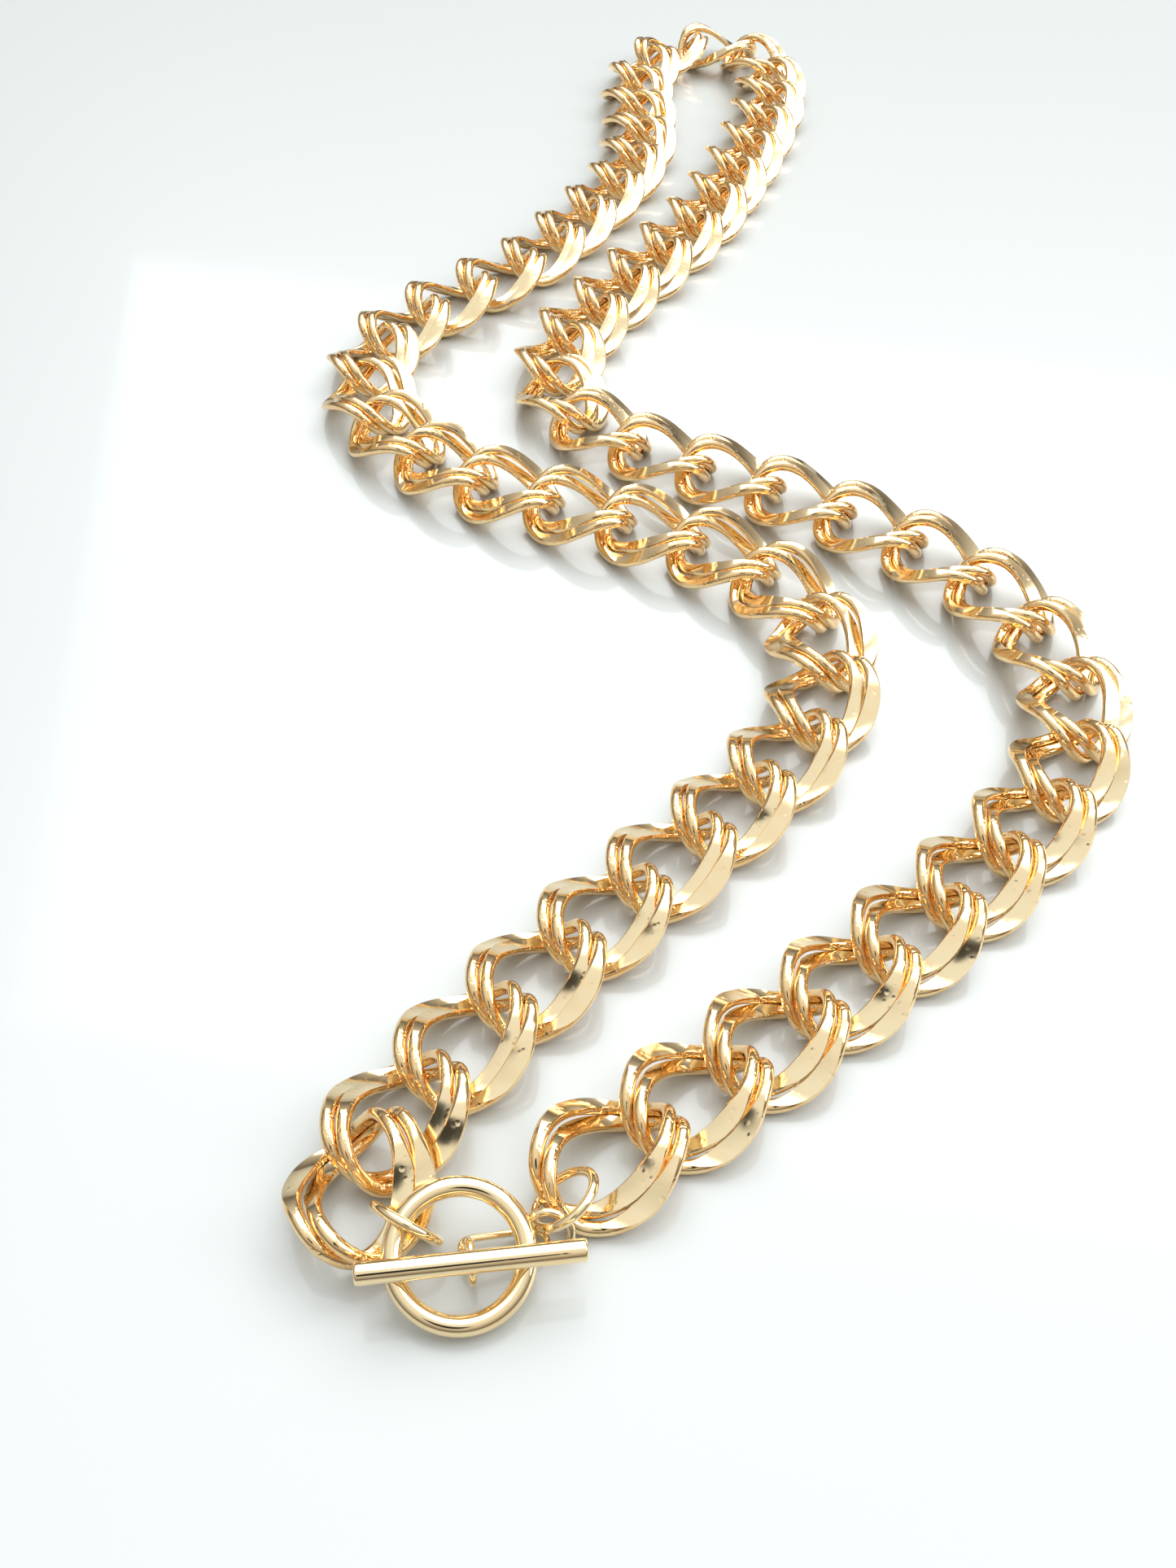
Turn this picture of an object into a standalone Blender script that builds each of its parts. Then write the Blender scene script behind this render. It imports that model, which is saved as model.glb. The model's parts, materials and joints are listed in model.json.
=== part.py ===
"""Double-link chain necklace with a toggle clasp, laid out closed on a flat surface.

Each link pair is two twisted oval wire loops that lie side by side and move as one. Every pair passes
through its two neighbours and swivels on an upright axis through the crossing. The origin is under the
middle of the necklace, +Z is up and +Y leads away from the clasp. Sizes are in millimetres.
"""
import math

import bmesh
import bpy
from mathutils import Euler, Matrix, Vector

MM = 0.001

# Space kept between pieces that touch on the real necklace
GAP = 0.3

# Chain: one link pair. The loops' length, width and stacking follow the pitch and the wire.
PITCH = 8.2
CHAIN_WIRE = 1.2
LOOP_LENGTH = PITCH + 2 * CHAIN_WIRE + GAP
LOOP_WIDTH = 0.61 * PITCH + 2.25 * CHAIN_WIRE
LOOP_SQUARENESS = 2.4
END_TWIST = math.radians(50)
SIDE_STEP = (1.125 * CHAIN_WIRE, 0.583 * CHAIN_WIRE)
END_STEP = (1.375 * CHAIN_WIRE, -0.25 * CHAIN_WIRE)
FACET_FLARE = 0.25
LINK_SECTIONS = 16

# Chain: the pairs on the route, and those that share a node with a neighbour at the far turn
ROUTE_PAIRS = 61
FIRST_JOINED = 24
LAST_JOINED = 39
BEAD_RADIUS = 1.35

# The route of the chain from the bar side round to the ring side, before it is fitted to its length.
# It starts and ends at fixed places beside the clasp, START and FINISH.
ROUTE_START = (7.0, 5.7)
ROUTE_MIDDLE = [
    (16.7, 13.4), (29.1, 24.3), (41.6, 36.3), (49.4, 45.9), (52.9, 56.5), (49.6, 68.8), (41.1, 78.6),
    (27.0, 87.6), (12.6, 94.8), (4.2, 102.4), (3.5, 113.8), (11.6, 129.8), (20.0, 144.3),
    (26.1, 159.8), (30.6, 175.2), (32.6, 188.5), (29.4, 198.4), (21.6, 200.4), (14.6, 194.4),
    (12.4, 183.6), (13.2, 170.6), (11.0, 157.6), (4.4, 143.8), (-2.0, 132.6), (-11.8, 122.8),
    (-18.3, 111.8), (-16.2, 99.0), (-5.6, 88.8), (9.2, 82.4), (22.4, 76.0), (29.8, 66.4),
    (29.0, 54.4), (20.1, 42.0), (8.7, 29.3), (-1.2, 17.2),
]
ROUTE_FINISH = (-7.6, 7.7)
ROUTE_PITCH = 8.2
CURVE_STEPS = 40

# The last pair on the ring side, tipped over where the toggle ring rests on it
LAST_PAIR_POINT = (-7.8, 1.1, 2.6)
LAST_PAIR_TURN = (math.radians(-8), math.radians(-1), math.radians(84))

# Toggle ring, lying tilted on the chain end and the small rings
RING_DIAMETER = 10.8
RING_WIRE = 1.5
RING_RISE = (0.37, 1.67)
RING_LIFT = 0.4

# Toggle bar and the eye under its middle
BAR_LENGTH = 15.8
BAR_DIAMETER = 1.6
BAR_MIDDLE = (0.95, -1.3)
BAR_TURN = math.radians(8)
BAR_EDGE = 0.18
EYE_DIAMETER = 3.4
EYE_WIRE = 0.6
EYE_LEAN = math.radians(28)
EYE_SINK = 0.2

# Jump rings: one through the last pair at each end of the chain, seated by middle and turn
JUMP_DIAMETER = 5.9
JUMP_WIRE = 0.75
BAR_JUMP_MIDDLE = (7.03, 4.62, 2.42)
BAR_JUMP_TURN = (math.radians(-27), math.radians(32), math.radians(109))
RING_JUMP_MIDDLE = (-3.85, 2.24, 2.79)
RING_JUMP_TURN = (math.radians(-66), math.radians(3), math.radians(-28))

# The small ring next to the bar side's jump ring, and the oval ring from there to the bar's eye
SMALL_DIAMETER = 3.9
SMALL_WIRE = 0.6
SMALL_MIDDLE = (5.99, 2.35, 1.69)
SMALL_TURN = (math.radians(56), math.radians(-19), math.radians(6))
OVAL_LENGTH = 6.72
OVAL_WIDTH = 2.7
OVAL_WIRE = 0.6
OVAL_MIDDLE = (2.94, 1.66, 1.32)
OVAL_TURN = (math.radians(-23), math.radians(10), math.radians(15))

CHAIN_GOLD = (0.86, 0.60, 0.30, 1.0)
CLASP_GOLD = (0.92, 0.70, 0.40, 1.0)


def signed_power(value, power):
    """Raise a number's size to a power and keep its sign."""
    return math.copysign(abs(value) ** power, value)


def placed(middle, turn=(0, 0, 0)):
    """A matrix that turns a piece and then moves it to a point given in millimetres."""
    return Matrix.Translation(Vector(middle) * MM) @ Euler(turn).to_matrix().to_4x4()


def loop_point(angle, side):
    """A point on one loop's wire: side +1 is the upper loop of the pair and -1 the lower one."""
    along = LOOP_LENGTH / 2 * signed_power(math.cos(angle), 2 / LOOP_SQUARENESS)
    across = LOOP_WIDTH / 2 * signed_power(math.sin(angle), 2 / LOOP_SQUARENESS)
    reach = along / (LOOP_LENGTH / 2)
    twist = -END_TWIST * reach
    end_share = reach ** 2
    step_y = SIDE_STEP[0] * (1 - end_share) + END_STEP[0] * end_share
    step_z = SIDE_STEP[1] * (1 - end_share) + END_STEP[1] * end_share
    y = across * math.cos(twist) + side * step_y / 2
    z = across * math.sin(twist) + side * step_z / 2
    return Vector((along, y, z))


def chain_height():
    """How high a pair's middle lies when its lowest wire touches the surface under it."""
    lowest = min(loop_point(math.radians(degree), -1).z for degree in range(360))
    return CHAIN_WIRE / 2 - lowest


def link_section(angle):
    """Six corners round both wires of a pair at one place, flared outward where the sides are pressed."""
    upper = loop_point(angle, 1)
    lower = loop_point(angle, -1)
    ahead = loop_point(angle + 0.02, 1) + loop_point(angle + 0.02, -1)
    behind = loop_point(angle - 0.02, 1) + loop_point(angle - 0.02, -1)
    tangent = (ahead - behind).normalized()
    apart = upper - lower
    outward = (apart - tangent * apart.dot(tangent)).normalized()
    upright = tangent.cross(outward)
    radius = CHAIN_WIRE / 2
    flare = FACET_FLARE * math.sin(angle) ** 4
    left_reach = radius + (flare if math.sin(angle) > 0 else 0)
    right_reach = radius + (flare if math.sin(angle) < 0 else 0)
    return [
        upper + outward * left_reach,
        upper + upright * radius,
        lower + upright * radius,
        lower - outward * right_reach,
        lower - upright * radius,
        upper - upright * radius,
    ]


def link_shape():
    """The mesh that every link pair shares, in the pair's own frame with +X along the chain."""
    mesh = bmesh.new()
    rings = []
    for step in range(LINK_SECTIONS):
        section = link_section(2 * math.pi * (step + 0.5) / LINK_SECTIONS)
        rings.append([mesh.verts.new(corner * MM) for corner in section])
    for index, ring in enumerate(rings):
        following = rings[(index + 1) % LINK_SECTIONS]
        for corner in range(len(ring)):
            beside = (corner + 1) % len(ring)
            mesh.faces.new((ring[corner], ring[beside], following[beside], following[corner]))
    bmesh.ops.triangulate(mesh, faces=mesh.faces[:])
    bmesh.ops.recalc_face_normals(mesh, faces=mesh.faces[:])
    data = bpy.data.meshes.new("link_pair_shape")
    mesh.to_mesh(data)
    mesh.free()
    return data


def smooth_route(points):
    """Closely spaced points on a smooth curve through the route's own points."""
    padded = [2 * points[0] - points[1]] + points + [2 * points[-1] - points[-2]]
    curve = []
    for index in range(1, len(padded) - 2):
        before, start, end, after = padded[index - 1:index + 3]
        for step in range(CURVE_STEPS):
            t = step / CURVE_STEPS
            curve.append(0.5 * (
                2 * start
                + (end - before) * t
                + (2 * before - 5 * start + 4 * end - after) * t ** 2
                + (3 * start - before - 3 * end + after) * t ** 3
            ))
    curve.append(points[-1])
    return curve


def paced(curve, pace, count):
    """Stops at equal straight paces along a curve, going straight on past its end if need be."""
    run_on = (curve[-1] - curve[-2]).normalized()
    line = curve + [curve[-1] + run_on * pace * count]
    stops = [line[0]]
    index = 1
    while len(stops) <= count:
        here = stops[-1]
        while (line[index] - here).length < pace:
            index += 1
        near = line[index - 1]
        far = line[index]
        for _ in range(30):
            middle = (near + far) / 2
            if (middle - here).length < pace:
                near = middle
            else:
                far = middle
        stops.append(far)
    return stops


def route_swivels():
    """The swivel points between pairs. The route's middle is sized so that the chain just fills it."""
    start = Vector(ROUTE_START)
    finish = Vector(ROUTE_FINISH)

    def stops_at(size):
        middle = [Vector(point) * size for point in ROUTE_MIDDLE]
        return paced(smooth_route([start] + middle + [finish]), PITCH, ROUTE_PAIRS)

    small = 0.7 * PITCH / ROUTE_PITCH
    large = 1.3 * PITCH / ROUTE_PITCH
    for _ in range(40):
        size = (small + large) / 2
        stops = stops_at(size)
        if (stops[-1] - finish).dot(stops[-1] - stops[-2]) > 0:
            small = size
        else:
            large = size
    return [stop.to_3d() for stop in stops_at(large)]


def gold(name, colour, roughness):
    """A metallic finish."""
    material = bpy.data.materials.new(name)
    material.use_nodes = True
    shader = material.node_tree.nodes["Principled BSDF"]
    shader.inputs["Base Color"].default_value = colour
    shader.inputs["Metallic"].default_value = 1.0
    shader.inputs["Roughness"].default_value = roughness
    return material


class Necklace:
    """The pieces as they are made, with the collection of each and the empties that they swivel on."""

    def __init__(self):
        self.parts = self.new_collection("chain_necklace")
        self.helpers = self.new_collection("joining_solids")
        self.chain_finish = gold("chain_gold", CHAIN_GOLD, 0.22)
        self.clasp_finish = gold("clasp_gold", CLASP_GOLD, 0.10)
        self.link = link_shape()
        self.height = chain_height()

    @staticmethod
    def new_collection(name):
        """A collection in the scene."""
        collection = bpy.data.collections.new(name)
        bpy.context.scene.collection.children.link(collection)
        return collection

    def add(self, name, data, where, finish=None):
        """Put a mesh in the necklace as a named piece, or among the joining solids if it has no finish."""
        piece = bpy.data.objects.new(name, data)
        piece.matrix_world = where
        if finish:
            self.parts.objects.link(piece)
            if not data.materials:
                data.materials.append(finish)
            data.shade_smooth()
            data.set_sharp_from_angle(angle=math.radians(50))
        else:
            self.helpers.objects.link(piece)
            piece.hide_render = True
            piece.display_type = "WIRE"
        return piece

    def taken(self, name):
        """The mesh of the primitive that was added last, freed from its object."""
        made = bpy.context.object
        data = made.data
        data.name = name
        bpy.data.objects.remove(made)
        return data

    def union(self, piece, other):
        """Join a helper solid to a piece."""
        joining = piece.modifiers.new("join_" + other.name, "BOOLEAN")
        joining.operation = "UNION"
        joining.object = other

    def swivel(self, name, point, pieces, turn=(0, 0, 0)):
        """An empty on a joint's axis, with the pieces that turn on it parented to it."""
        empty = bpy.data.objects.new(name, None)
        empty.empty_display_size = 2 * MM
        empty.matrix_world = placed(point, turn)
        self.parts.objects.link(empty)
        for piece in pieces:
            where = piece.matrix_world.copy()
            piece.parent = empty
            piece.matrix_local = empty.matrix_world.inverted() @ where

    def torus(self, name, diameter, wire, where, finish=None, segments=20, sides=6):
        """A round ring of round wire, measured across its outside."""
        bpy.ops.mesh.primitive_torus_add(
            major_radius=(diameter - wire) / 2 * MM, minor_radius=wire / 2 * MM,
            major_segments=segments, minor_segments=sides)
        return self.add(name, self.taken(name), where, finish)

    def pair_frames(self, swivels):
        """Each route pair's place: its middle half way between two swivels, and +X along the chain."""
        frames = []
        for start, end in zip(swivels, swivels[1:]):
            heading = math.atan2(end.y - start.y, end.x - start.x)
            middle = (start + end) / 2
            frames.append(placed((middle.x, middle.y, self.height), (0, 0, heading)))
        return frames

    def chain(self):
        """All link pairs on the route, the last pair beside the ring, and the swivels between them."""
        swivels = route_swivels()
        frames = self.pair_frames(swivels)
        nodes = []
        index = 0
        while index < ROUTE_PAIRS:
            number = index + 1
            if FIRST_JOINED <= number <= LAST_JOINED:
                nodes.append((self.joined_pairs(number, frames[index], frames[index + 1]), index, index + 2))
                index += 2
            else:
                piece = self.add(f"link_pair_{number:02d}", self.link, frames[index], self.chain_finish)
                nodes.append((piece, index, index + 1))
                index += 1
        last = self.add(f"link_pair_{ROUTE_PAIRS + 1:02d}", self.link, self.last_frame(), self.chain_finish)
        middle = len(nodes) // 2
        for place, (piece, first, beyond) in enumerate(nodes):
            if place < middle:
                self.swivel(f"swivel_{beyond:02d}", swivels[beyond], [piece])
            elif place > middle:
                self.swivel(f"swivel_{first:02d}", swivels[first], [piece])
        self.swivel(f"swivel_{ROUTE_PAIRS:02d}", swivels[ROUTE_PAIRS], [last])

    def last_frame(self):
        """The last pair's place: its clasp end stays put and it reaches back to the chain from there."""
        x, y, z = LAST_PAIR_POINT
        turn = Euler(LAST_PAIR_TURN).to_matrix()
        middle = Vector((x, y, z)) + turn @ Vector((PITCH / 2, 0, 0))
        return placed(middle, LAST_PAIR_TURN)

    def joined_pairs(self, number, frame, next_frame):
        """Two neighbouring pairs as one piece, held together by a bead where they cross."""
        piece = self.add(f"link_pairs_{number}_{number + 1}", self.link.copy(), frame, self.chain_finish)
        second = self.add(f"second_pair_{number + 1}", self.link, next_frame)
        bpy.ops.mesh.primitive_ico_sphere_add(subdivisions=1, radius=BEAD_RADIUS * MM)
        bead_place = frame @ Matrix.Translation(Vector((PITCH / 2 * MM, 0, 0)))
        bead = self.add(f"bead_{number}", self.taken("bead"), bead_place)
        self.union(piece, second)
        self.union(piece, bead)
        return piece

    def toggle_ring_frame(self):
        """The toggle ring's place: it leans on the pieces under it, lowest at the near right."""
        radius = (RING_DIAMETER - RING_WIRE) / 2
        side_rise, far_rise = RING_RISE
        across = Vector((radius, 0, -side_rise)).normalized()
        away = Vector((0, radius, far_rise)).normalized()
        upright = across.cross(away).normalized()
        away = upright.cross(across)
        turn = Matrix((across, away, upright)).transposed()
        dip = radius * math.sqrt(1 - upright.z ** 2)
        middle = (0, 0, RING_WIRE / 2 + dip + RING_LIFT)
        return placed(middle, turn.to_euler())

    def bar_height(self, ring_frame):
        """How high the bar's axis lies when the bar rests over the tilted toggle ring."""
        radius = (RING_DIAMETER - RING_WIRE) / 2
        apart = RING_WIRE / 2 + BAR_DIAMETER / 2 + GAP
        aside = Vector((-math.sin(BAR_TURN), math.cos(BAR_TURN), 0))
        height = 0
        for degree in range(360):
            angle = math.radians(degree)
            wire = ring_frame @ (Vector((math.cos(angle), math.sin(angle), 0)) * radius * MM) / MM
            offset = (wire - Vector((*BAR_MIDDLE, 0))).dot(aside)
            if abs(offset) < apart:
                height = max(height, wire.z + math.sqrt(apart ** 2 - offset ** 2))
        return height

    def toggle_ring(self, frame):
        """The polished ring, which turns about its own axis."""
        ring = self.torus(
            "toggle_ring", RING_DIAMETER, RING_WIRE, frame, self.clasp_finish, segments=28, sides=8)
        self.swivel("ring_turn", frame.translation / MM, [ring], frame.to_euler())

    def toggle_bar(self, frame):
        """The bar, with the wire eye that hangs under its middle."""
        bpy.ops.mesh.primitive_cylinder_add(
            vertices=16, radius=BAR_DIAMETER / 2 * MM, depth=BAR_LENGTH * MM,
            rotation=(0, math.radians(90), 0))
        bpy.ops.object.transform_apply(location=False, rotation=True, scale=False)
        where = placed((*BAR_MIDDLE, self.bar_height(frame)), (0, 0, BAR_TURN))
        bar = self.add("toggle_bar", self.taken("toggle_bar"), where, self.clasp_finish)
        edge = bar.modifiers.new("rounded_ends", "BEVEL")
        edge.width = BAR_EDGE * MM
        edge.segments = 1
        edge.limit_method = "ANGLE"
        edge.angle_limit = math.radians(60)
        hang = BAR_DIAMETER / 2 + EYE_DIAMETER / 2 - EYE_SINK
        lean = Matrix.Rotation(EYE_LEAN, 4, "X")
        down = lean @ Matrix.Translation(Vector((0, 0, -hang)) * MM)
        across_bar = Matrix.Rotation(math.radians(90), 4, "Y")
        eye_frame = where @ down @ across_bar
        eye = self.torus("bar_eye", EYE_DIAMETER, EYE_WIRE, eye_frame)
        self.union(bar, eye)
        self.swivel("bar_swivel", eye_frame.translation / MM, [bar])

    def end_ring(self, name, middle, turn, swivel_name, point):
        """A round jump ring and the swivel between it and its end of the chain."""
        ring = self.torus(name, JUMP_DIAMETER, JUMP_WIRE, placed(middle, turn), self.clasp_finish)
        self.swivel(swivel_name, point, [ring])

    def small_ring(self):
        """The small ring, which swivels where the bar side's jump ring passes through it."""
        where = placed(SMALL_MIDDLE, SMALL_TURN)
        ring = self.torus(
            "small_ring", SMALL_DIAMETER, SMALL_WIRE, where, self.clasp_finish, segments=16)
        between = (Vector(SMALL_MIDDLE) + Vector(BAR_JUMP_MIDDLE)) / 2
        self.swivel("small_ring_swivel", between, [ring])

    def oval_outline(self):
        """The oval ring's centre line: two straight sides and two round ends."""
        half_width = (OVAL_WIDTH - OVAL_WIRE) / 2
        straight = (OVAL_LENGTH - OVAL_WIDTH) / 2
        outline = []
        for side in (1, -1):
            for step in range(7):
                turn = math.pi * step / 6
                x = straight + half_width * math.sin(turn)
                y = half_width * math.cos(turn)
                outline.append((side * x, side * y))
        return outline

    def oval_ring(self):
        """The oval ring, a closed wire that joins the small ring to the bar's eye."""
        outline = self.oval_outline()
        curve = bpy.data.curves.new("oval_wire", "CURVE")
        curve.dimensions = "3D"
        curve.bevel_depth = OVAL_WIRE / 2 * MM
        curve.bevel_resolution = 1
        wire = curve.splines.new("POLY")
        wire.points.add(len(outline) - 1)
        for point, (x, y) in zip(wire.points, outline):
            point.co = (x * MM, y * MM, 0, 1)
        wire.use_cyclic_u = True
        drawn = bpy.data.objects.new("oval_wire", curve)
        self.helpers.objects.link(drawn)
        data = bpy.data.meshes.new_from_object(drawn.evaluated_get(bpy.context.evaluated_depsgraph_get()))
        bpy.data.objects.remove(drawn)
        where = placed(OVAL_MIDDLE, OVAL_TURN)
        ring = self.add("oval_ring", data, where, self.clasp_finish)
        reach = (OVAL_LENGTH - OVAL_WIDTH) / 2 * MM
        self.swivel("oval_ring_swivel", where @ Vector((reach, 0, 0)) / MM, [ring])

    def centre_on_floor(self):
        """Move everything so that the origin is under the middle of the necklace, at its lowest point."""
        bpy.context.view_layer.update()
        graph = bpy.context.evaluated_depsgraph_get()
        corners = []
        for piece in self.parts.objects:
            if piece.type == "MESH":
                shape = piece.evaluated_get(graph)
                corners += [shape.matrix_world @ vertex.co for vertex in shape.data.vertices]
        low = Vector([min(corner[axis] for corner in corners) for axis in range(3)])
        high = Vector([max(corner[axis] for corner in corners) for axis in range(3)])
        shift = Vector(((low.x + high.x) / 2, (low.y + high.y) / 2, low.z))
        for thing in bpy.context.scene.objects:
            if thing.parent is None:
                thing.location -= shift
        bpy.context.view_layer.update()


def clear_scene():
    """Remove whatever the scene holds."""
    for thing in list(bpy.data.objects):
        bpy.data.objects.remove(thing)


def main():
    """Build the necklace."""
    clear_scene()
    necklace = Necklace()
    necklace.chain()
    ring_frame = necklace.toggle_ring_frame()
    necklace.toggle_ring(ring_frame)
    necklace.toggle_bar(ring_frame)
    necklace.end_ring(
        "bar_jump_ring", BAR_JUMP_MIDDLE, BAR_JUMP_TURN, "bar_jump_swivel", (*ROUTE_START, necklace.height))
    necklace.end_ring(
        "ring_jump_ring", RING_JUMP_MIDDLE, RING_JUMP_TURN, "ring_jump_swivel", LAST_PAIR_POINT)
    necklace.small_ring()
    necklace.oval_ring()
    necklace.centre_on_floor()


main()
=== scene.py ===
"""Looks of a double-link gold chain necklace with a toggle clasp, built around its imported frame.

Every link pair is shown as two twisted, pressed wire loops, and the clasp as polished wire rings and a bar.
Sizes are in millimetres unless a name says otherwise, and are turned into metres where meshes are made.
"""
import json
import logging
import math
from dataclasses import dataclass, field
from enum import Enum

import bmesh
import bpy
import numpy as np
from mathutils import Euler, Matrix, Vector

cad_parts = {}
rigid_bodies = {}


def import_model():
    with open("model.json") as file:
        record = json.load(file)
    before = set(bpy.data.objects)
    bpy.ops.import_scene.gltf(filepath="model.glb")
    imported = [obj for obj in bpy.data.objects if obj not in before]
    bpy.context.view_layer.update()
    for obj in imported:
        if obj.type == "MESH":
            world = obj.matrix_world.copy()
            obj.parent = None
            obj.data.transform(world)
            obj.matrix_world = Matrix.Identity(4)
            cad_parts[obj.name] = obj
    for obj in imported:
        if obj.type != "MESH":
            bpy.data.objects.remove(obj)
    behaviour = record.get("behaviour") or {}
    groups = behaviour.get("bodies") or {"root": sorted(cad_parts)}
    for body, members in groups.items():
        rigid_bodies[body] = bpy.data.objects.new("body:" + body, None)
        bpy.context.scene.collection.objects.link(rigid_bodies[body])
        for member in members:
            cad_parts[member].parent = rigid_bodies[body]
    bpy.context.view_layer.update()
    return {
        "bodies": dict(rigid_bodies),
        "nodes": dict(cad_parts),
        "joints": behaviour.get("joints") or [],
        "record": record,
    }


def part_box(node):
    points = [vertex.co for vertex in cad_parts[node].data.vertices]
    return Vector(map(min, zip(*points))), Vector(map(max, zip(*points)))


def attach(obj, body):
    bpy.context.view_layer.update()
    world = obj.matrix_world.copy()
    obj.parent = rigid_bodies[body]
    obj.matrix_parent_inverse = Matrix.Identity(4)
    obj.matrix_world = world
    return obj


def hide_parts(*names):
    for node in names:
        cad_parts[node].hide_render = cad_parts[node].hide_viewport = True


MM = 0.001
LOG = logging.getLogger("necklace")


class Loop(Enum):
    """The two loops of a link pair, with the side that each one lies on."""

    UPPER = 1
    LOWER = -1


class Zone(Enum):
    """The zones of one loop, in the order of its material slots; the facet zone gets the lighter copy of the
    gold, painted light on the pressed tops.
    """

    WIRE = 0
    FACET = 1


class Pattern(Enum):
    """Names of the shared shader node groups."""

    CAST_MARKS = "cast_marks"
    PLATING_TONE = "plating_tone"


@dataclass(frozen=True)
class GoldFinish:
    """A gold-plated finish and how strongly the shared patterns show on it."""

    name: str
    colour: tuple[float, float, float]
    deep_colour: tuple[float, float, float]
    roughness: float
    roughness_spread: float
    mark_scale: float
    mark_depth: float
    mark_cover: float
    tone_scale: float
    tone_share: float


# The wire and facet finishes are lit and shaded copies of one gold: the wire copy is darker and more orange,
# painted shade on the round wire and its bends.
WIRE_GOLD = GoldFinish(
    "chain_wire_gold", (1.0, 0.75, 0.41), (0.92, 0.50, 0.20), 0.10, 0.12,
    2600.0, 0.000045, 0.55, 420.0, 0.60)
# Lighter copy of the wire gold: painted light on the pressed flat tops that face the lights.
LIT_FACET_GOLD = GoldFinish(
    "pressed_facet_gold_painted_light", (1.0, 0.83, 0.53), (1.0, 0.70, 0.36), 0.12, 0.10,
    1300.0, 0.000016, 0.35, 300.0, 0.45)
CLASP_GOLD = GoldFinish(
    "mirror_clasp_gold", (1.0, 0.81, 0.50), (1.0, 0.70, 0.36), 0.05, 0.04,
    900.0, 0.000003, 0.30, 260.0, 0.40)


class ShaderPatterns:
    """Builds the node groups that the gold finishes share."""

    def __init__(self) -> None:
        """Make both groups."""
        self.groups = {
            Pattern.CAST_MARKS: self.cast_marks(),
            Pattern.PLATING_TONE: self.plating_tone(),
        }

    @staticmethod
    def new_group(pattern: Pattern, inputs: dict[str, float], outputs: tuple[str, ...]):
        """Start a node group with float inputs and outputs.

        Args:
            pattern: the group's name.
            inputs: each input's name and default value.
            outputs: the names of the outputs.

        Returns:
            The node tree, its input node and its output node.
        """
        tree = bpy.data.node_groups.new(pattern.value, "ShaderNodeTree")
        for name, value in inputs.items():
            socket = tree.interface.new_socket(name, in_out="INPUT", socket_type="NodeSocketFloat")
            socket.default_value = value
        for name in outputs:
            tree.interface.new_socket(name, in_out="OUTPUT", socket_type="NodeSocketFloat")
        return tree, tree.nodes.new("NodeGroupInput"), tree.nodes.new("NodeGroupOutput")

    def cast_marks(self) -> bpy.types.NodeTree:
        """Small pits and ripples left in the plated wire by casting and hammering.

        Returns:
            A group that gives a height, and a mask that is 1 in the pits.
        """
        tree, given, made = self.new_group(
            Pattern.CAST_MARKS, {"Scale": 2000.0, "Cover": 0.5}, ("Height", "Pits"))
        nodes, links = tree.nodes, tree.links
        place = nodes.new("ShaderNodeTexCoord")
        cells = nodes.new("ShaderNodeTexVoronoi")
        cells.feature = "SMOOTH_F1"
        cells.inputs["Smoothness"].default_value = 0.4
        links.new(place.outputs["Object"], cells.inputs["Vector"])
        links.new(given.outputs["Scale"], cells.inputs["Scale"])
        slow = nodes.new("ShaderNodeMath")
        slow.operation = "MULTIPLY"
        slow.inputs[1].default_value = 0.3
        links.new(given.outputs["Scale"], slow.inputs[0])
        ripples = nodes.new("ShaderNodeTexNoise")
        ripples.inputs["Detail"].default_value = 3.0
        links.new(place.outputs["Object"], ripples.inputs["Vector"])
        links.new(slow.outputs[0], ripples.inputs["Scale"])
        pits = nodes.new("ShaderNodeMapRange")
        pits.interpolation_type = "SMOOTHSTEP"
        pits.inputs["From Max"].default_value = 0.0
        links.new(cells.outputs["Distance"], pits.inputs["Value"])
        links.new(given.outputs["Cover"], pits.inputs["From Min"])
        patchy = nodes.new("ShaderNodeMapRange")
        patchy.inputs["From Min"].default_value = 0.45
        patchy.inputs["From Max"].default_value = 0.62
        links.new(ripples.outputs["Fac"], patchy.inputs["Value"])
        mask = nodes.new("ShaderNodeMath")
        mask.operation = "MULTIPLY"
        links.new(pits.outputs["Result"], mask.inputs[0])
        links.new(patchy.outputs["Result"], mask.inputs[1])
        height = nodes.new("ShaderNodeMath")
        height.operation = "SUBTRACT"
        links.new(ripples.outputs["Fac"], height.inputs[0])
        links.new(mask.outputs[0], height.inputs[1])
        links.new(height.outputs[0], made.inputs["Height"])
        links.new(mask.outputs[0], made.inputs["Pits"])
        return tree

    def plating_tone(self) -> bpy.types.NodeTree:
        """Slow drifts between fresh and deeper plating.

        Returns:
            A group that gives a mask that is 1 where the plating is deeper in colour.
        """
        tree, given, made = self.new_group(Pattern.PLATING_TONE, {"Scale": 300.0, "Share": 0.5}, ("Deep",))
        nodes, links = tree.nodes, tree.links
        place = nodes.new("ShaderNodeTexCoord")
        clouds = nodes.new("ShaderNodeTexNoise")
        clouds.inputs["Detail"].default_value = 4.0
        clouds.inputs["Roughness"].default_value = 0.6
        links.new(place.outputs["Object"], clouds.inputs["Vector"])
        links.new(given.outputs["Scale"], clouds.inputs["Scale"])
        contrast = nodes.new("ShaderNodeMapRange")
        contrast.interpolation_type = "SMOOTHSTEP"
        contrast.inputs["From Min"].default_value = 0.35
        contrast.inputs["From Max"].default_value = 0.75
        links.new(clouds.outputs["Fac"], contrast.inputs["Value"])
        share = nodes.new("ShaderNodeMath")
        share.operation = "MULTIPLY"
        links.new(contrast.outputs["Result"], share.inputs[0])
        links.new(given.outputs["Share"], share.inputs[1])
        links.new(share.outputs[0], made.inputs["Deep"])
        return tree

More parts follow.
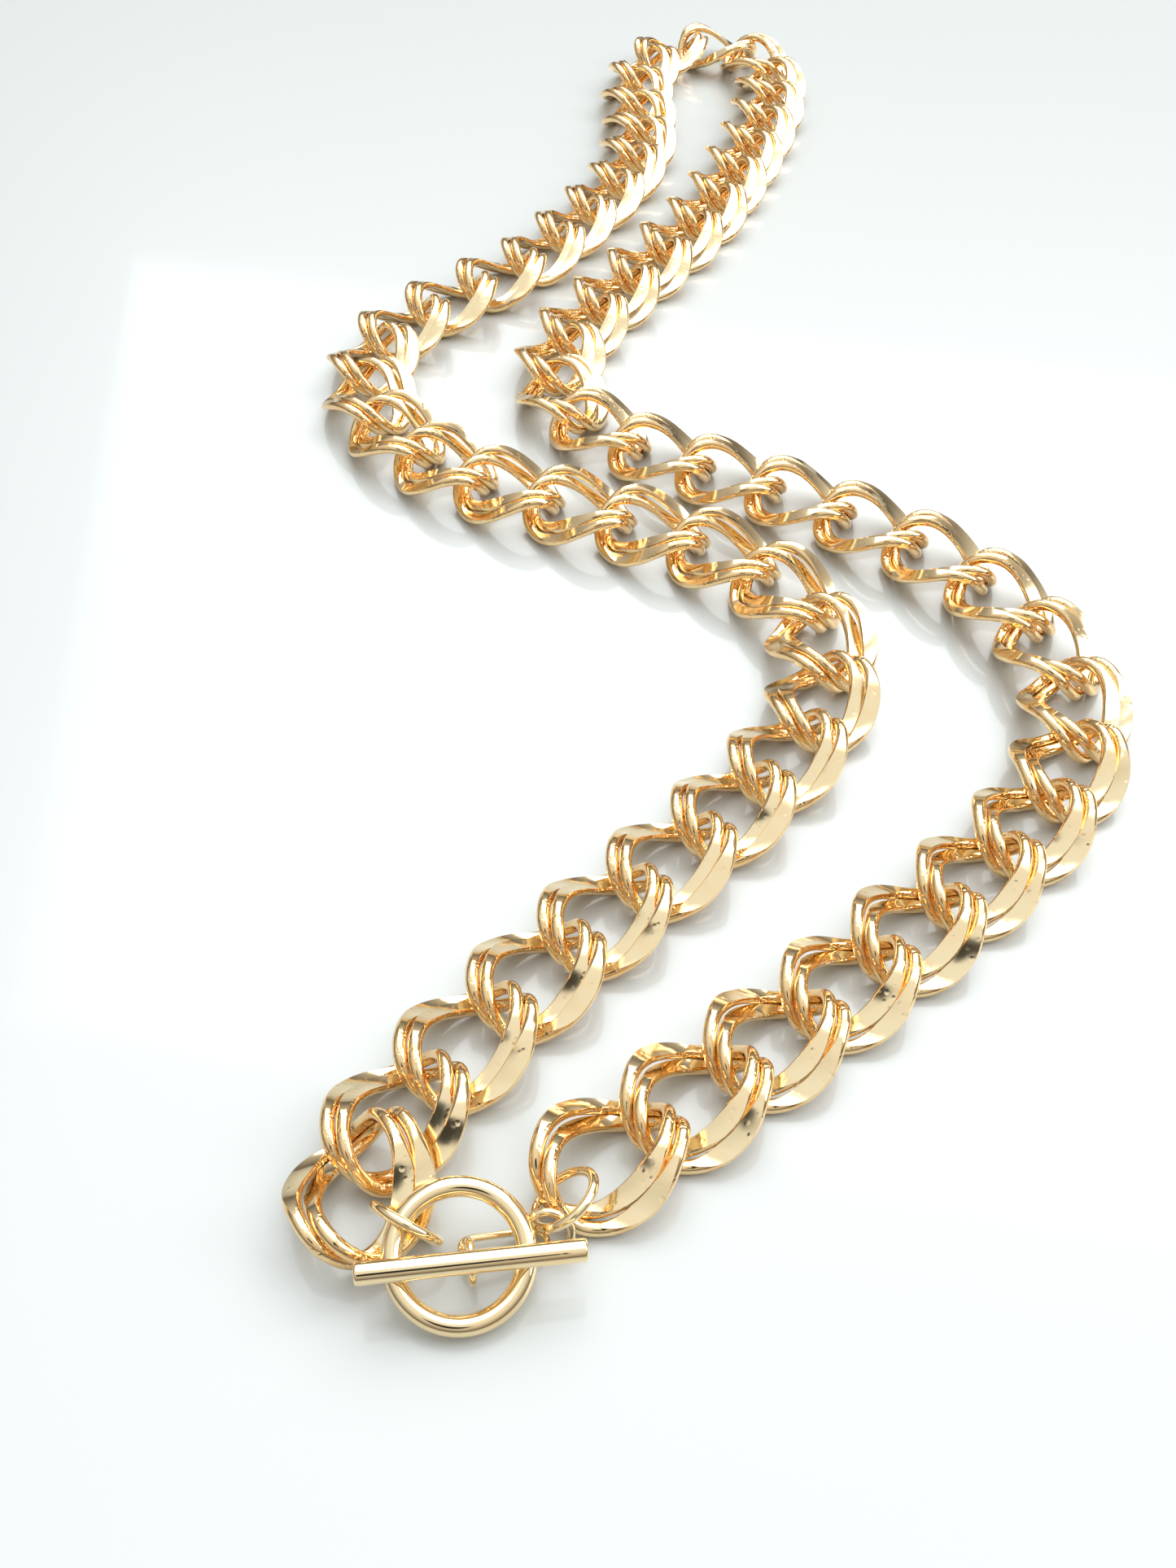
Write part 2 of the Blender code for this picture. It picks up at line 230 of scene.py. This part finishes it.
    def gold(self, finish: GoldFinish) -> bpy.types.Material:
        """Make a gold material from a finish.

        Args:
            finish: the colours, roughness and pattern strengths.

        Returns:
            The material.
        """
        material = bpy.data.materials.new(finish.name)
        material.use_nodes = True
        nodes, links = material.node_tree.nodes, material.node_tree.links
        shader = nodes["Principled BSDF"]
        shader.inputs["Metallic"].default_value = 1.0
        marks = nodes.new("ShaderNodeGroup")
        marks.node_tree = self.groups[Pattern.CAST_MARKS]
        marks.inputs["Scale"].default_value = finish.mark_scale
        marks.inputs["Cover"].default_value = finish.mark_cover
        tone = nodes.new("ShaderNodeGroup")
        tone.node_tree = self.groups[Pattern.PLATING_TONE]
        tone.inputs["Scale"].default_value = finish.tone_scale
        tone.inputs["Share"].default_value = finish.tone_share
        colour = nodes.new("ShaderNodeMix")
        colour.data_type = "RGBA"
        colour.inputs["A"].default_value = (*finish.colour, 1.0)
        colour.inputs["B"].default_value = (*finish.deep_colour, 1.0)
        links.new(tone.outputs["Deep"], colour.inputs["Factor"])
        links.new(colour.outputs["Result"], shader.inputs["Base Color"])
        rough = nodes.new("ShaderNodeMapRange")
        rough.inputs["To Min"].default_value = finish.roughness
        rough.inputs["To Max"].default_value = finish.roughness + finish.roughness_spread
        links.new(marks.outputs["Pits"], rough.inputs["Value"])
        links.new(rough.outputs["Result"], shader.inputs["Roughness"])
        bump = nodes.new("ShaderNodeBump")
        bump.inputs["Strength"].default_value = 1.0
        bump.inputs["Distance"].default_value = finish.mark_depth
        links.new(marks.outputs["Height"], bump.inputs["Height"])
        links.new(bump.outputs["Normal"], shader.inputs["Normal"])
        return material


def signed_power(value: float, power: float) -> float:
    """Raise a number's size to a power and keep its sign."""
    return math.copysign(abs(value) ** power, value)


def smooth_step(low: float, high: float, value: float) -> float:
    """Rise smoothly from 0 at low to 1 at high."""
    share = min(1.0, max(0.0, (value - low) / (high - low)))
    return share * share * (3 - 2 * share)


def add_piece(name: str, data: bpy.types.ID, where: Matrix, body: str) -> bpy.types.Object:
    """Put a piece in the scene and let it ride on a body.

    Args:
        name: the piece's name.
        data: its mesh.
        where: its place in the frame.
        body: the body that it moves with.

    Returns:
        The new object.
    """
    piece = bpy.data.objects.new(name, data)
    piece.matrix_world = where
    bpy.context.scene.collection.objects.link(piece)
    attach(piece, body)
    return piece


def node_points(frame: dict, node: str) -> np.ndarray:
    """The corners of a frame node's mesh, one row each, in metres."""
    data = frame["nodes"][node].data
    points = np.empty(len(data.vertices) * 3)
    data.vertices.foreach_get("co", points)
    return points.reshape(-1, 3)


@dataclass
class PressedLoop:
    """One loop of a link pair: a twisted oval of round wire whose long sides are pressed flat on top."""

    pitch: float = 8.2
    chain_wire: float = 1.2
    gap: float = 0.3
    wire_radius: float = 0.55
    squareness: float = 2.4
    end_twist: float = math.radians(50)
    facet_spread: float = 1.50
    facet_height: float = 0.50
    round_height: float = 0.985
    facet_tilt: float = math.radians(14)
    facet_reach: tuple[float, float] = (0.72, 0.06)
    underside: float = 0.84
    sections: int = 96
    round_points: int = 17
    flat_points: int = 4
    flaws: tuple[float, ...] = (0.0, 1.9, 3.7)

    def centre(self, angle: float, loop: Loop) -> Vector:
        """The wire's centre line.

        Args:
            angle: the place round the loop, 0 at the end towards the next pair.
            loop: which of the two loops.

        Returns:
            The point in the pair's own frame, with +X along the chain.
        """
        length = self.pitch + 2 * self.chain_wire + self.gap
        width = 0.61 * self.pitch + 2.25 * self.chain_wire
        reach = signed_power(math.cos(angle), 2 / self.squareness)
        across = width / 2 * signed_power(math.sin(angle), 2 / self.squareness)
        twist = -self.end_twist * reach
        end_share = reach ** 2
        step_y = self.chain_wire * (1.125 * (1 - end_share) + 1.375 * end_share)
        step_z = self.chain_wire * (0.583 * (1 - end_share) - 0.25 * end_share)
        return Vector((
            length / 2 * reach,
            across * math.cos(twist) + loop.value * step_y / 2,
            across * math.sin(twist) + loop.value * step_z / 2,
        ))

    def pressed(self, angle: float, flaw: float) -> float:
        """How far the wire is pressed, from 0 in the bends to 1 in the middle of the long sides."""
        reach = abs(math.cos(angle)) ** (2 / self.squareness)
        start, full = self.facet_reach
        wave = 0.06 * math.sin(3 * angle + flaw) * math.sin(2 * flaw + 1)
        return smooth_step(start, full, reach + wave)

    def section(self, angle: float, loop: Loop, flaw: float) -> list[Vector]:
        """The wire's outline at one place, first round the underside and then along the flat top.

        Args:
            angle: the place round the loop.
            loop: which of the two loops.
            flaw: a phase that makes each mould's loops slightly different.

        Returns:
            The outline's points in the pair's own frame.
        """
        middle = self.centre(angle, loop)
        ahead = self.centre(angle + 0.01, loop)
        behind = self.centre(angle - 0.01, loop)
        along = (ahead - behind).normalized()
        outward = along.cross(Vector((0, 0, 1))).normalized()
        upward = outward.cross(along)
        press = self.pressed(angle, flaw)
        tilt = self.facet_tilt * press * (1 + 0.4 * math.sin(2 * angle + flaw))
        side = outward * math.cos(tilt) - upward * math.sin(tilt)
        top = upward * math.cos(tilt) + outward * math.sin(tilt)
        spread = 1 + (self.facet_spread - 1) * press
        flat = self.round_height + (self.facet_height - self.round_height) * press
        under = 1 + (self.underside - 1) * press
        shift = 0.10 * press
        rim = math.asin(flat)
        outline = []
        for step in range(self.round_points):
            turn = rim - (math.pi + 2 * rim) * step / (self.round_points - 1)
            x = spread * math.cos(turn) + shift
            y = math.sin(turn) * (under if turn < 0 and turn > -math.pi else 1.0)
            outline.append(middle + (side * x + top * y) * self.wire_radius)
        edge = spread * math.cos(rim)
        for step in range(1, self.flat_points):
            x = edge * (2 * step / self.flat_points - 1) + shift
            dish = 0.03 * press * math.sin(math.pi * step / self.flat_points)
            outline.append(middle + (side * x + top * (flat - dish)) * self.wire_radius)
        return outline

    def mesh(self, loop: Loop, mould: int, materials: dict[Zone, bpy.types.Material]) -> bpy.types.Mesh:
        """Loft the outlines round the loop.

        Args:
            loop: which of the two loops.
            mould: which of the slightly different shapes.
            materials: the material of each zone.

        Returns:
            The mesh in the pair's own frame, in metres.
        """
        made = bmesh.new()
        rings = []
        presses = []
        for step in range(self.sections):
            angle = 2 * math.pi * step / self.sections
            outline = self.section(angle, loop, self.flaws[mould])
            rings.append([made.verts.new(point * MM) for point in outline])
            presses.append(self.pressed(angle, self.flaws[mould]))
        count = self.round_points + self.flat_points - 1
        for index, ring in enumerate(rings):
            following = rings[(index + 1) % self.sections]
            on_facet = presses[index] > 0.04
            for point in range(count):
                beside = (point + 1) % count
                face = made.faces.new((ring[point], following[point], following[beside], ring[beside]))
                face.smooth = True
                # The flat tops take the facet gold, the lighter copy that paints light on them; the rest
                # keeps the darker wire copy.
                flat = on_facet and point >= self.round_points - 1
                face.material_index = Zone.FACET.value if flat else Zone.WIRE.value
        bmesh.ops.recalc_face_normals(made, faces=made.faces[:])
        data = bpy.data.meshes.new(f"{loop.name.lower()}_loop_{mould + 1}")
        made.to_mesh(data)
        made.free()
        for zone in Zone:
            data.materials.append(materials[zone])
        data.set_sharp_from_angle(angle=math.radians(24))
        return data


@dataclass(frozen=True)
class Route:
    """The way the chain lies from the bar side round to the ring side, measured from the toggle ring."""

    pitch: float = 8.2
    pairs: int = 61
    curve_steps: int = 40
    start: tuple[float, float] = (7.0, 5.7)
    middle: tuple[tuple[float, float], ...] = (
        (16.7, 13.4), (29.1, 24.3), (41.6, 36.3), (49.4, 45.9), (52.9, 56.5), (49.6, 68.8), (41.1, 78.6),
        (27.0, 87.6), (12.6, 94.8), (4.2, 102.4), (3.5, 113.8), (11.6, 129.8), (20.0, 144.3),
        (26.1, 159.8), (30.6, 175.2), (32.6, 188.5), (29.4, 198.4), (21.6, 200.4), (14.6, 194.4),
        (12.4, 183.6), (13.2, 170.6), (11.0, 157.6), (4.4, 143.8), (-2.0, 132.6), (-11.8, 122.8),
        (-18.3, 111.8), (-16.2, 99.0), (-5.6, 88.8), (9.2, 82.4), (22.4, 76.0), (29.8, 66.4),
        (29.0, 54.4), (20.1, 42.0), (8.7, 29.3), (-1.2, 17.2),
    )
    finish: tuple[float, float] = (-7.6, 7.7)
    last_point: tuple[float, float, float] = (-7.8, 1.1, 2.6)
    last_turn: tuple[float, float, float] = (math.radians(-8), math.radians(-1), math.radians(84))

    def curve(self, size: float) -> list[Vector]:
        """Closely spaced points on a smooth curve.

        Args:
            size: how much the route's middle is enlarged.

        Returns:
            The points from the route's start to its finish.
        """
        points = [Vector(self.start)]
        points += [Vector(point) * size for point in self.middle]
        points.append(Vector(self.finish))
        padded = [2 * points[0] - points[1]] + points + [2 * points[-1] - points[-2]]
        curve = []
        for index in range(1, len(padded) - 2):
            before, near, far, after = padded[index - 1:index + 3]
            for step in range(self.curve_steps):
                t = step / self.curve_steps
                curve.append(0.5 * (
                    2 * near
                    + (far - before) * t
                    + (2 * before - 5 * near + 4 * far - after) * t ** 2
                    + (3 * near - before - 3 * far + after) * t ** 3
                ))
        curve.append(points[-1])
        return curve

    def stops(self, size: float) -> list[Vector]:
        """The swivels one pitch apart along the enlarged curve, which may run on past its end."""
        curve = self.curve(size)
        run_on = (curve[-1] - curve[-2]).normalized()
        line = curve + [curve[-1] + run_on * self.pitch * self.pairs]
        stops = [line[0]]
        index = 1
        while len(stops) <= self.pairs:
            here = stops[-1]
            while (line[index] - here).length < self.pitch:
                index += 1
            near, far = line[index - 1], line[index]
            for _ in range(30):
                middle = (near + far) / 2
                if (middle - here).length < self.pitch:
                    near = middle
                else:
                    far = middle
            stops.append(far)
        return stops

    def swivels(self) -> list[Vector]:
        """The swivels of the size at which the chain just fills the route."""
        small, large = 0.7, 1.3
        finish = Vector(self.finish)
        for _ in range(40):
            size = (small + large) / 2
            stops = self.stops(size)
            if (stops[-1] - finish).dot(stops[-1] - stops[-2]) > 0:
                small = size
            else:
                large = size
        return self.stops(large)

    def pair_frames(self, height: float) -> list[Matrix]:
        """The place of every pair, the tipped last one included, with +X along the chain.

        Args:
            height: how high the middle of a pair lies.

        Returns:
            One matrix for each pair, from the toggle ring's middle on the surface.
        """
        frames = []
        swivels = self.swivels()
        for near, far in zip(swivels, swivels[1:]):
            middle = (near + far) / 2
            heading = math.atan2(far.y - near.y, far.x - near.x)
            place = Matrix.Translation(Vector((middle.x, middle.y, height)) * MM)
            frames.append(place @ Matrix.Rotation(heading, 4, "Z"))
        turn = Euler(self.last_turn).to_matrix()
        middle = Vector(self.last_point) + turn @ Vector((self.pitch / 2, 0, 0))
        frames.append(Matrix.Translation(middle * MM) @ turn.to_4x4())
        return frames


@dataclass
class Chain:
    """All link pairs, each shown as two loops that ride on the pair's body."""

    frame: dict
    bodies: dict[str, str]
    shape: PressedLoop
    route: Route
    materials: dict[Zone, bpy.types.Material]
    meshes: dict = field(default_factory=dict)

    def loop_mesh(self, loop: Loop, number: int) -> bpy.types.Mesh:
        """The shared mesh of a loop, from one of the moulds in turn."""
        mould = (number * 2 + (loop is Loop.LOWER)) % len(self.shape.flaws)
        if (loop, mould) not in self.meshes:
            self.meshes[loop, mould] = self.shape.mesh(loop, mould, self.materials)
        return self.meshes[loop, mould]

    def add_pair(self, number: int, where: Matrix, node: str) -> None:
        """Show one pair.

        Args:
            number: the pair's number along the chain.
            where: its place.
            node: the frame node that it belongs to.
        """
        for loop in Loop:
            data = self.loop_mesh(loop, number)
            piece = add_piece(f"loop_{number:02d}_{loop.name.lower()}", data, where, self.bodies[node])
            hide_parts(node)

    def build(self) -> None:
        """Show every pair and report how many nodes they stand for."""
        low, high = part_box("link_pair_02")
        height = (low.z + high.z) / 2 / MM
        ring_low, ring_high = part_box("toggle_ring")
        ring = (ring_low + ring_high) / 2
        ring.z = 0.0
        frames = [Matrix.Translation(ring) @ place for place in self.route.pair_frames(height)]
        nodes = [name for name in self.frame["nodes"] if name.startswith("link_pair")]
        for node in nodes:
            for number in (int(part) for part in node.split("_")[2:]):
                self.add_pair(number, frames[number - 1], node)
        LOG.info("chain: %d nodes shown as loops", len(nodes))


@dataclass
class WireRing:
    """A closed ring of round wire, round or long, with a fine cut where its ends meet."""

    name: str
    length: float
    width: float
    wire: float
    cut: float = 0.0
    cut_at: float = 0.0
    sections: int = 120
    sides: int = 24

    def outline(self, share: float) -> Vector:
        """The centre line's point at a share of the way round."""
        radius = (self.width - self.wire) / 2
        straight = self.length - self.width
        around = 2 * straight + 2 * math.pi * radius
        walk = (share % 1.0) * around
        half = math.pi * radius
        if walk < half:
            turn = walk / radius - math.pi / 2
            return Vector((straight / 2 + radius * math.cos(turn), radius * math.sin(turn), 0))
        if walk < half + straight:
            return Vector((straight / 2 - (walk - half), radius, 0))
        if walk < 2 * half + straight:
            turn = (walk - half - straight) / radius + math.pi / 2
            return Vector((-straight / 2 + radius * math.cos(turn), radius * math.sin(turn), 0))
        return Vector((-straight / 2 + (walk - 2 * half - straight), -radius, 0))

    def mesh(self, material: bpy.types.Material) -> bpy.types.Mesh:
        """Sweep the wire round the ring; a cut ring has two flat ends with rounded rims."""
        made = bmesh.new()
        around = 2 * (self.length - self.width) + math.pi * (self.width - self.wire)
        gap = self.cut / around
        steps = self.sections
        rows = []
        for step in range(steps + (1 if self.cut else 0)):
            share = self.cut_at + gap / 2 + (1 - gap) * step / steps
            here = self.outline(share)
            along = (self.outline(share + 0.002) - self.outline(share - 0.002)).normalized()
            side = along.cross(Vector((0, 0, 1)))
            near_end = min(step, steps - step) if self.cut else 2
            size = self.wire / 2 * (0.86 if near_end == 0 else 1.0)
            row = []
            for corner in range(self.sides):
                turn = 2 * math.pi * corner / self.sides
                offset = side * math.cos(turn) + Vector((0, 0, 1)) * math.sin(turn)
                row.append(made.verts.new((here + offset * size) * MM))
            rows.append(row)
        pairs = list(zip(rows, rows[1:]))
        if not self.cut:
            pairs.append((rows[-1], rows[0]))
        for row, following in pairs:
            for corner in range(self.sides):
                beside = (corner + 1) % self.sides
                made.faces.new((row[corner], row[beside], following[beside], following[corner]))
        if self.cut:
            made.faces.new(rows[0])
            made.faces.new(rows[-1])
        for face in made.faces:
            face.smooth = True
        bmesh.ops.recalc_face_normals(made, faces=made.faces[:])
        data = bpy.data.meshes.new(self.name)
        made.to_mesh(data)
        made.free()
        data.materials.append(material)
        data.set_sharp_from_angle(angle=math.radians(40))
        return data


@dataclass
class Clasp:
    """The toggle ring, the toggle bar with its eye, and the small rings that join them to the chain."""

    frame: dict
    bodies: dict[str, str]
    gold: bpy.types.Material
    bar_length: float = 15.8
    bar_diameter: float = 1.6
    bar_end_radius: float = 0.22
    eye_diameter: float = 3.4
    eye_wire: float = 0.6
    bar_sides: int = 48
    solder_radius: float = 0.62
    solder_stretch: tuple[float, float, float] = (0.85, 1.15, 0.5)

    def ring_frame(self, node: str) -> Matrix:
        """A ring's place, from the way its frame node's corners spread: +X along its longest side.

        Args:
            node: the ring's frame node.

        Returns:
            The place of the ring's middle, with +Z along its axis.
        """
        points = node_points(self.frame, node)
        low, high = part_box(node)
        middle = Vector(points.mean(0)) if node == "oval_ring" else (low + high) / 2
        spread = points - points.mean(0)
        _, axes = np.linalg.eigh(spread.T @ spread)
        across = Vector(axes[:, 2])
        upright = Vector(axes[:, 0])
        if upright.z < 0:
            upright.negate()
        turn = Matrix((across, upright.cross(across), upright)).transposed()
        return Matrix.Translation(middle) @ turn.to_4x4()

    def add_ring(self, node: str, ring: WireRing) -> None:
        """Show a ring in the place of its frame node."""
        piece = add_piece(ring.name, ring.mesh(self.gold), self.ring_frame(node), self.bodies[node])
        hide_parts(node)
        LOG.info("%s shown", ring.name)

    def bar_frame(self) -> Matrix:
        """The bar's place: its middle, with +X towards the end that the frame's mount names."""
        mount = self.frame["record"]["mounts"][0]
        along = Vector(mount["axis"]).normalized()
        middle = Vector(mount["pos_m"]) - along * self.bar_length / 2 * MM
        turn = along.to_track_quat("X", "Z").to_matrix().to_4x4()
        return Matrix.Translation(middle) @ turn

    def bar_mesh(self) -> bpy.types.Mesh:
        """Turn the bar's profile, with rounded rims and flat ends."""
        half = self.bar_length / 2
        radius = self.bar_diameter / 2
        rim = self.bar_end_radius
        end = [(half, 0.0), (half, (radius - rim) * 0.5)]
        for step in range(7):
            turn = math.pi / 2 * step / 6
            end.append((half - rim + rim * math.cos(turn), radius - rim + rim * math.sin(turn)))
        profile = end + [(half * share, radius) for share in (0.8, 0.6, 0.4, 0.2, 0.0)]
        profile += [(-x, y) for x, y in reversed(profile[:-1])]
        made = bmesh.new()
        rows = []
        for x, y in profile:
            if y == 0.0:
                rows.append([made.verts.new(Vector((x, 0, 0)) * MM)])
                continue
            turns = [2 * math.pi * corner / self.bar_sides for corner in range(self.bar_sides)]
            rows.append([
                made.verts.new(Vector((x, y * math.cos(turn), y * math.sin(turn))) * MM) for turn in turns])
        for row, following in zip(rows, rows[1:]):
            count = max(len(row), len(following))
            for corner in range(count):
                beside = (corner + 1) % count
                corners = [row[corner % len(row)], row[beside % len(row)]]
                corners += [following[beside % len(following)], following[corner % len(following)]]
                unique = list(dict.fromkeys(corners))
                made.faces.new(unique).smooth = True
        bmesh.ops.recalc_face_normals(made, faces=made.faces[:])
        data = bpy.data.meshes.new("toggle_bar_shown")
        made.to_mesh(data)
        made.free()
        data.materials.append(self.gold)
        return data

    def eye_frame(self, bar: Matrix) -> Matrix:
        """The eye's place, from the swivel in its middle: it stands in the plane across the bar."""
        for joint in self.frame["joints"]:
            if joint["name"] == "bar_swivel":
                middle = Vector(joint["pos_m"])
        turn = bar.to_3x3() @ Euler((0, math.pi / 2, 0)).to_matrix()
        return Matrix.Translation(middle) @ turn.to_4x4()

    def solder_mesh(self) -> bpy.types.Mesh:
        """A small blob of solder that fills the corner between the eye and the bar."""
        made = bmesh.new()
        bmesh.ops.create_icosphere(made, subdivisions=4, radius=self.solder_radius * MM)
        for vert in made.verts:
            vert.co.x *= self.solder_stretch[0]
            vert.co.y *= self.solder_stretch[1]
            vert.co.z *= self.solder_stretch[2]
        for face in made.faces:
            face.smooth = True
        data = bpy.data.meshes.new("eye_solder")
        made.to_mesh(data)
        made.free()
        data.materials.append(self.gold)
        return data

    def add_bar(self) -> None:
        """Show the bar, its eye and the solder between them."""
        where = self.bar_frame()
        body = self.bodies["toggle_bar"]
        bar = add_piece("toggle_bar_shown", self.bar_mesh(), where, body)
        eye_shape = WireRing("bar_eye_shown", self.eye_diameter, self.eye_diameter, self.eye_wire)
        eye_place = self.eye_frame(where)
        eye = add_piece(eye_shape.name, eye_shape.mesh(self.gold), eye_place, body)
        down = (eye_place.translation - where.translation).normalized()
        spot = where.translation + down * (self.bar_diameter / 2 + 0.02) * MM
        turn = down.to_track_quat("Z", "X").to_matrix().to_4x4()
        solder = add_piece("eye_solder_shown", self.solder_mesh(), Matrix.Translation(spot) @ turn, body)
        for piece in (bar, eye, solder):
            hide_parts("toggle_bar")
        LOG.info("toggle bar shown")

    def build(self) -> None:
        """Show every piece of the clasp."""
        self.add_ring("toggle_ring", WireRing("toggle_ring_shown", 10.8, 10.8, 1.5, sections=160, sides=36))
        self.add_ring("bar_jump_ring", WireRing("bar_jump_ring_shown", 5.9, 5.9, 0.75, 0.05, 0.62))
        self.add_ring("ring_jump_ring", WireRing("ring_jump_ring_shown", 5.9, 5.9, 0.75, 0.05, 0.30))
        self.add_ring("small_ring", WireRing("small_ring_shown", 3.9, 3.9, 0.6, 0.04, 0.10))
        self.add_ring("oval_ring", WireRing("oval_ring_shown", 6.64, 2.62, 0.52, 0.04, 0.40))
        self.add_bar()


@dataclass
class Studio:
    """The pale floor, the soft light and the camera."""

    frame: dict
    camera_side: float = 8.05
    camera_back: float = -53.17
    camera_height: float = 106.15
    pitch_down: float = math.radians(46.553)
    roll: float = math.radians(1.338)
    lens: float = 37.363
    floor_size: float = 3.0
    dark_side: tuple[float, float, float] = (0.0, -0.688, 0.726)
    bright_side: tuple[float, float, float] = (0.12, 0.38, 0.917)

    def camera(self) -> None:
        """Place the camera by the toggle ring's middle."""
        low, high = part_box("toggle_ring")
        ring = (low + high) / 2
        data = bpy.data.cameras.new("camera")
        data.lens = self.lens
        data.sensor_width = 36.0
        data.clip_start = 0.005
        camera = bpy.data.objects.new("camera", data)
        side, rise = math.cos(self.pitch_down), math.sin(self.pitch_down)
        lean, lie = math.sin(self.roll), math.cos(self.roll)
        right = Vector((lie, lean * rise, lean * side))
        up = Vector((-lean, lie * rise, lie * side))
        back = Vector((0.0, -side, rise))
        turn = Matrix((right, up, back)).transposed().to_4x4()
        place = Vector((
            ring.x + self.camera_side * MM, ring.y + self.camera_back * MM, self.camera_height * MM))
        camera.matrix_world = Matrix.Translation(place) @ turn
        bpy.context.scene.collection.objects.link(camera)
        bpy.context.scene.camera = camera

    def floor(self) -> None:
        """A wide, pale, slightly glossy floor."""
        data = bpy.data.meshes.new("floor")
        half = self.floor_size / 2
        corners = [(-half, -half, 0), (half, -half, 0), (half, half, 0), (-half, half, 0)]
        data.from_pydata(corners, [], [(0, 1, 2, 3)])
        material = bpy.data.materials.new("pale_glaze")
        material.use_nodes = True
        shader = material.node_tree.nodes["Principled BSDF"]
        shader.inputs["Base Color"].default_value = (0.60, 0.636, 0.64, 1.0)
        shader.inputs["Roughness"].default_value = 0.32
        shader.inputs["Coat Weight"].default_value = 0.6
        shader.inputs["Coat Roughness"].default_value = 0.06
        data.materials.append(material)
        floor = bpy.data.objects.new("floor", data)
        bpy.context.scene.collection.objects.link(floor)

    def light(self, name: str, place: tuple, aim: tuple, size: tuple, power: float, colour: tuple) -> None:
        """Add a soft rectangular light.

        Args:
            name: its name.
            place: its middle, in metres.
            aim: the point that it faces, in metres.
            size: its width and height, in metres.
            power: its power in watts.
            colour: its colour.
        """
        data = bpy.data.lights.new(name, "AREA")
        data.shape = "RECTANGLE"
        data.size, data.size_y = size
        data.energy = power
        data.color = colour
        lamp = bpy.data.objects.new(name, data)
        facing = (Vector(place) - Vector(aim)).to_track_quat("Z", "Y")
        lamp.matrix_world = Matrix.Translation(place) @ facing.to_matrix().to_4x4()
        bpy.context.scene.collection.objects.link(lamp)

    @staticmethod
    def direction_mask(
        tree: bpy.types.NodeTree, place: bpy.types.Node, toward: tuple, near: tuple, far: tuple,
    ) -> bpy.types.NodeSocket:
        """A value that changes smoothly with the angle from one direction of the sky.

        Args:
            tree: the world's node tree.
            place: the node that gives the direction looked in.
            toward: the direction at the middle of the change.
            near: the cosine at which the change begins, and the value there.
            far: the cosine at which it is complete, and the value there.

        Returns:
            The socket with the value.
        """
        angle = tree.nodes.new("ShaderNodeVectorMath")
        angle.operation = "DOT_PRODUCT"
        angle.inputs[1].default_value = toward
        tree.links.new(place.outputs["Generated"], angle.inputs[0])
        change = tree.nodes.new("ShaderNodeMapRange")
        change.interpolation_type = "SMOOTHSTEP"
        change.inputs["From Min"].default_value, change.inputs["To Min"].default_value = near
        change.inputs["From Max"].default_value, change.inputs["To Max"].default_value = far
        tree.links.new(angle.outputs["Value"], change.inputs["Value"])
        return change.outputs["Result"]

    def world(self) -> None:
        """A bright room: dim at the horizon, brightest overhead, with a small dark patch on the near side."""
        world = bpy.data.worlds.new("soft_room")
        bpy.context.scene.world = world
        world.use_nodes = True
        nodes, links = world.node_tree.nodes, world.node_tree.links
        place = nodes.new("ShaderNodeTexCoord")
        parts = nodes.new("ShaderNodeSeparateXYZ")
        links.new(place.outputs["Generated"], parts.inputs[0])
        ramp = nodes.new("ShaderNodeValToRGB")
        ramp.color_ramp.elements[0].position = 0.0
        ramp.color_ramp.elements[0].color = (0.10, 0.09, 0.08, 1)
        ramp.color_ramp.elements[1].position = 0.85
        ramp.color_ramp.elements[1].color = (0.9, 0.92, 0.92, 1)
        middle = ramp.color_ramp.elements.new(0.45)
        middle.color = (0.52, 0.49, 0.45, 1)
        links.new(parts.outputs["Z"], ramp.inputs["Fac"])
        shade = self.direction_mask(world.node_tree, place, self.dark_side, (0.992, 0.02), (0.975, 1.0))
        glow = self.direction_mask(world.node_tree, place, self.bright_side, (0.80, 1.0), (0.90, 2.6))
        dark = nodes.new("ShaderNodeMix")
        dark.data_type = "RGBA"
        dark.inputs["A"].default_value = (0.02, 0.02, 0.02, 1)
        links.new(shade, dark.inputs["Factor"])
        links.new(ramp.outputs["Color"], dark.inputs["B"])
        bright = nodes.new("ShaderNodeVectorMath")
        bright.operation = "SCALE"
        links.new(dark.outputs["Result"], bright.inputs[0])
        links.new(glow, bright.inputs["Scale"])
        links.new(bright.outputs[0], nodes["Background"].inputs["Color"])
        nodes["Background"].inputs["Strength"].default_value = 1.0

    def build(self) -> None:
        """Make the whole studio."""
        self.camera()
        self.floor()
        self.world()
        self.light("window", (0.10, 0.55, 0.60), (0, 0, 0), (0.9, 0.5), 3.0, (0.97, 1.0, 1.0))
        self.light("side_window", (0.75, -0.05, 0.55), (0, 0, 0), (0.5, 0.7), 3.0, (1.0, 1.0, 0.98))
        view = bpy.context.scene.view_settings
        view.view_transform = "Standard"
        view.look = "None"
        LOG.info("studio built")


def main() -> None:
    """Build the looks in order."""
    logging.basicConfig(level=logging.INFO, format="%(name)s: %(message)s")
    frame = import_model()
    patterns = ShaderPatterns()
    materials = {Zone.WIRE: patterns.gold(WIRE_GOLD), Zone.FACET: patterns.gold(LIT_FACET_GOLD)}
    bodies = {
        node: body for body, nodes in frame["record"]["behaviour"]["bodies"].items() for node in nodes}
    Chain(frame, bodies, PressedLoop(), Route(), materials).build()
    Clasp(frame, bodies, patterns.gold(CLASP_GOLD)).build()
    Studio(frame).build()


if __name__ == "__main__":
    main()
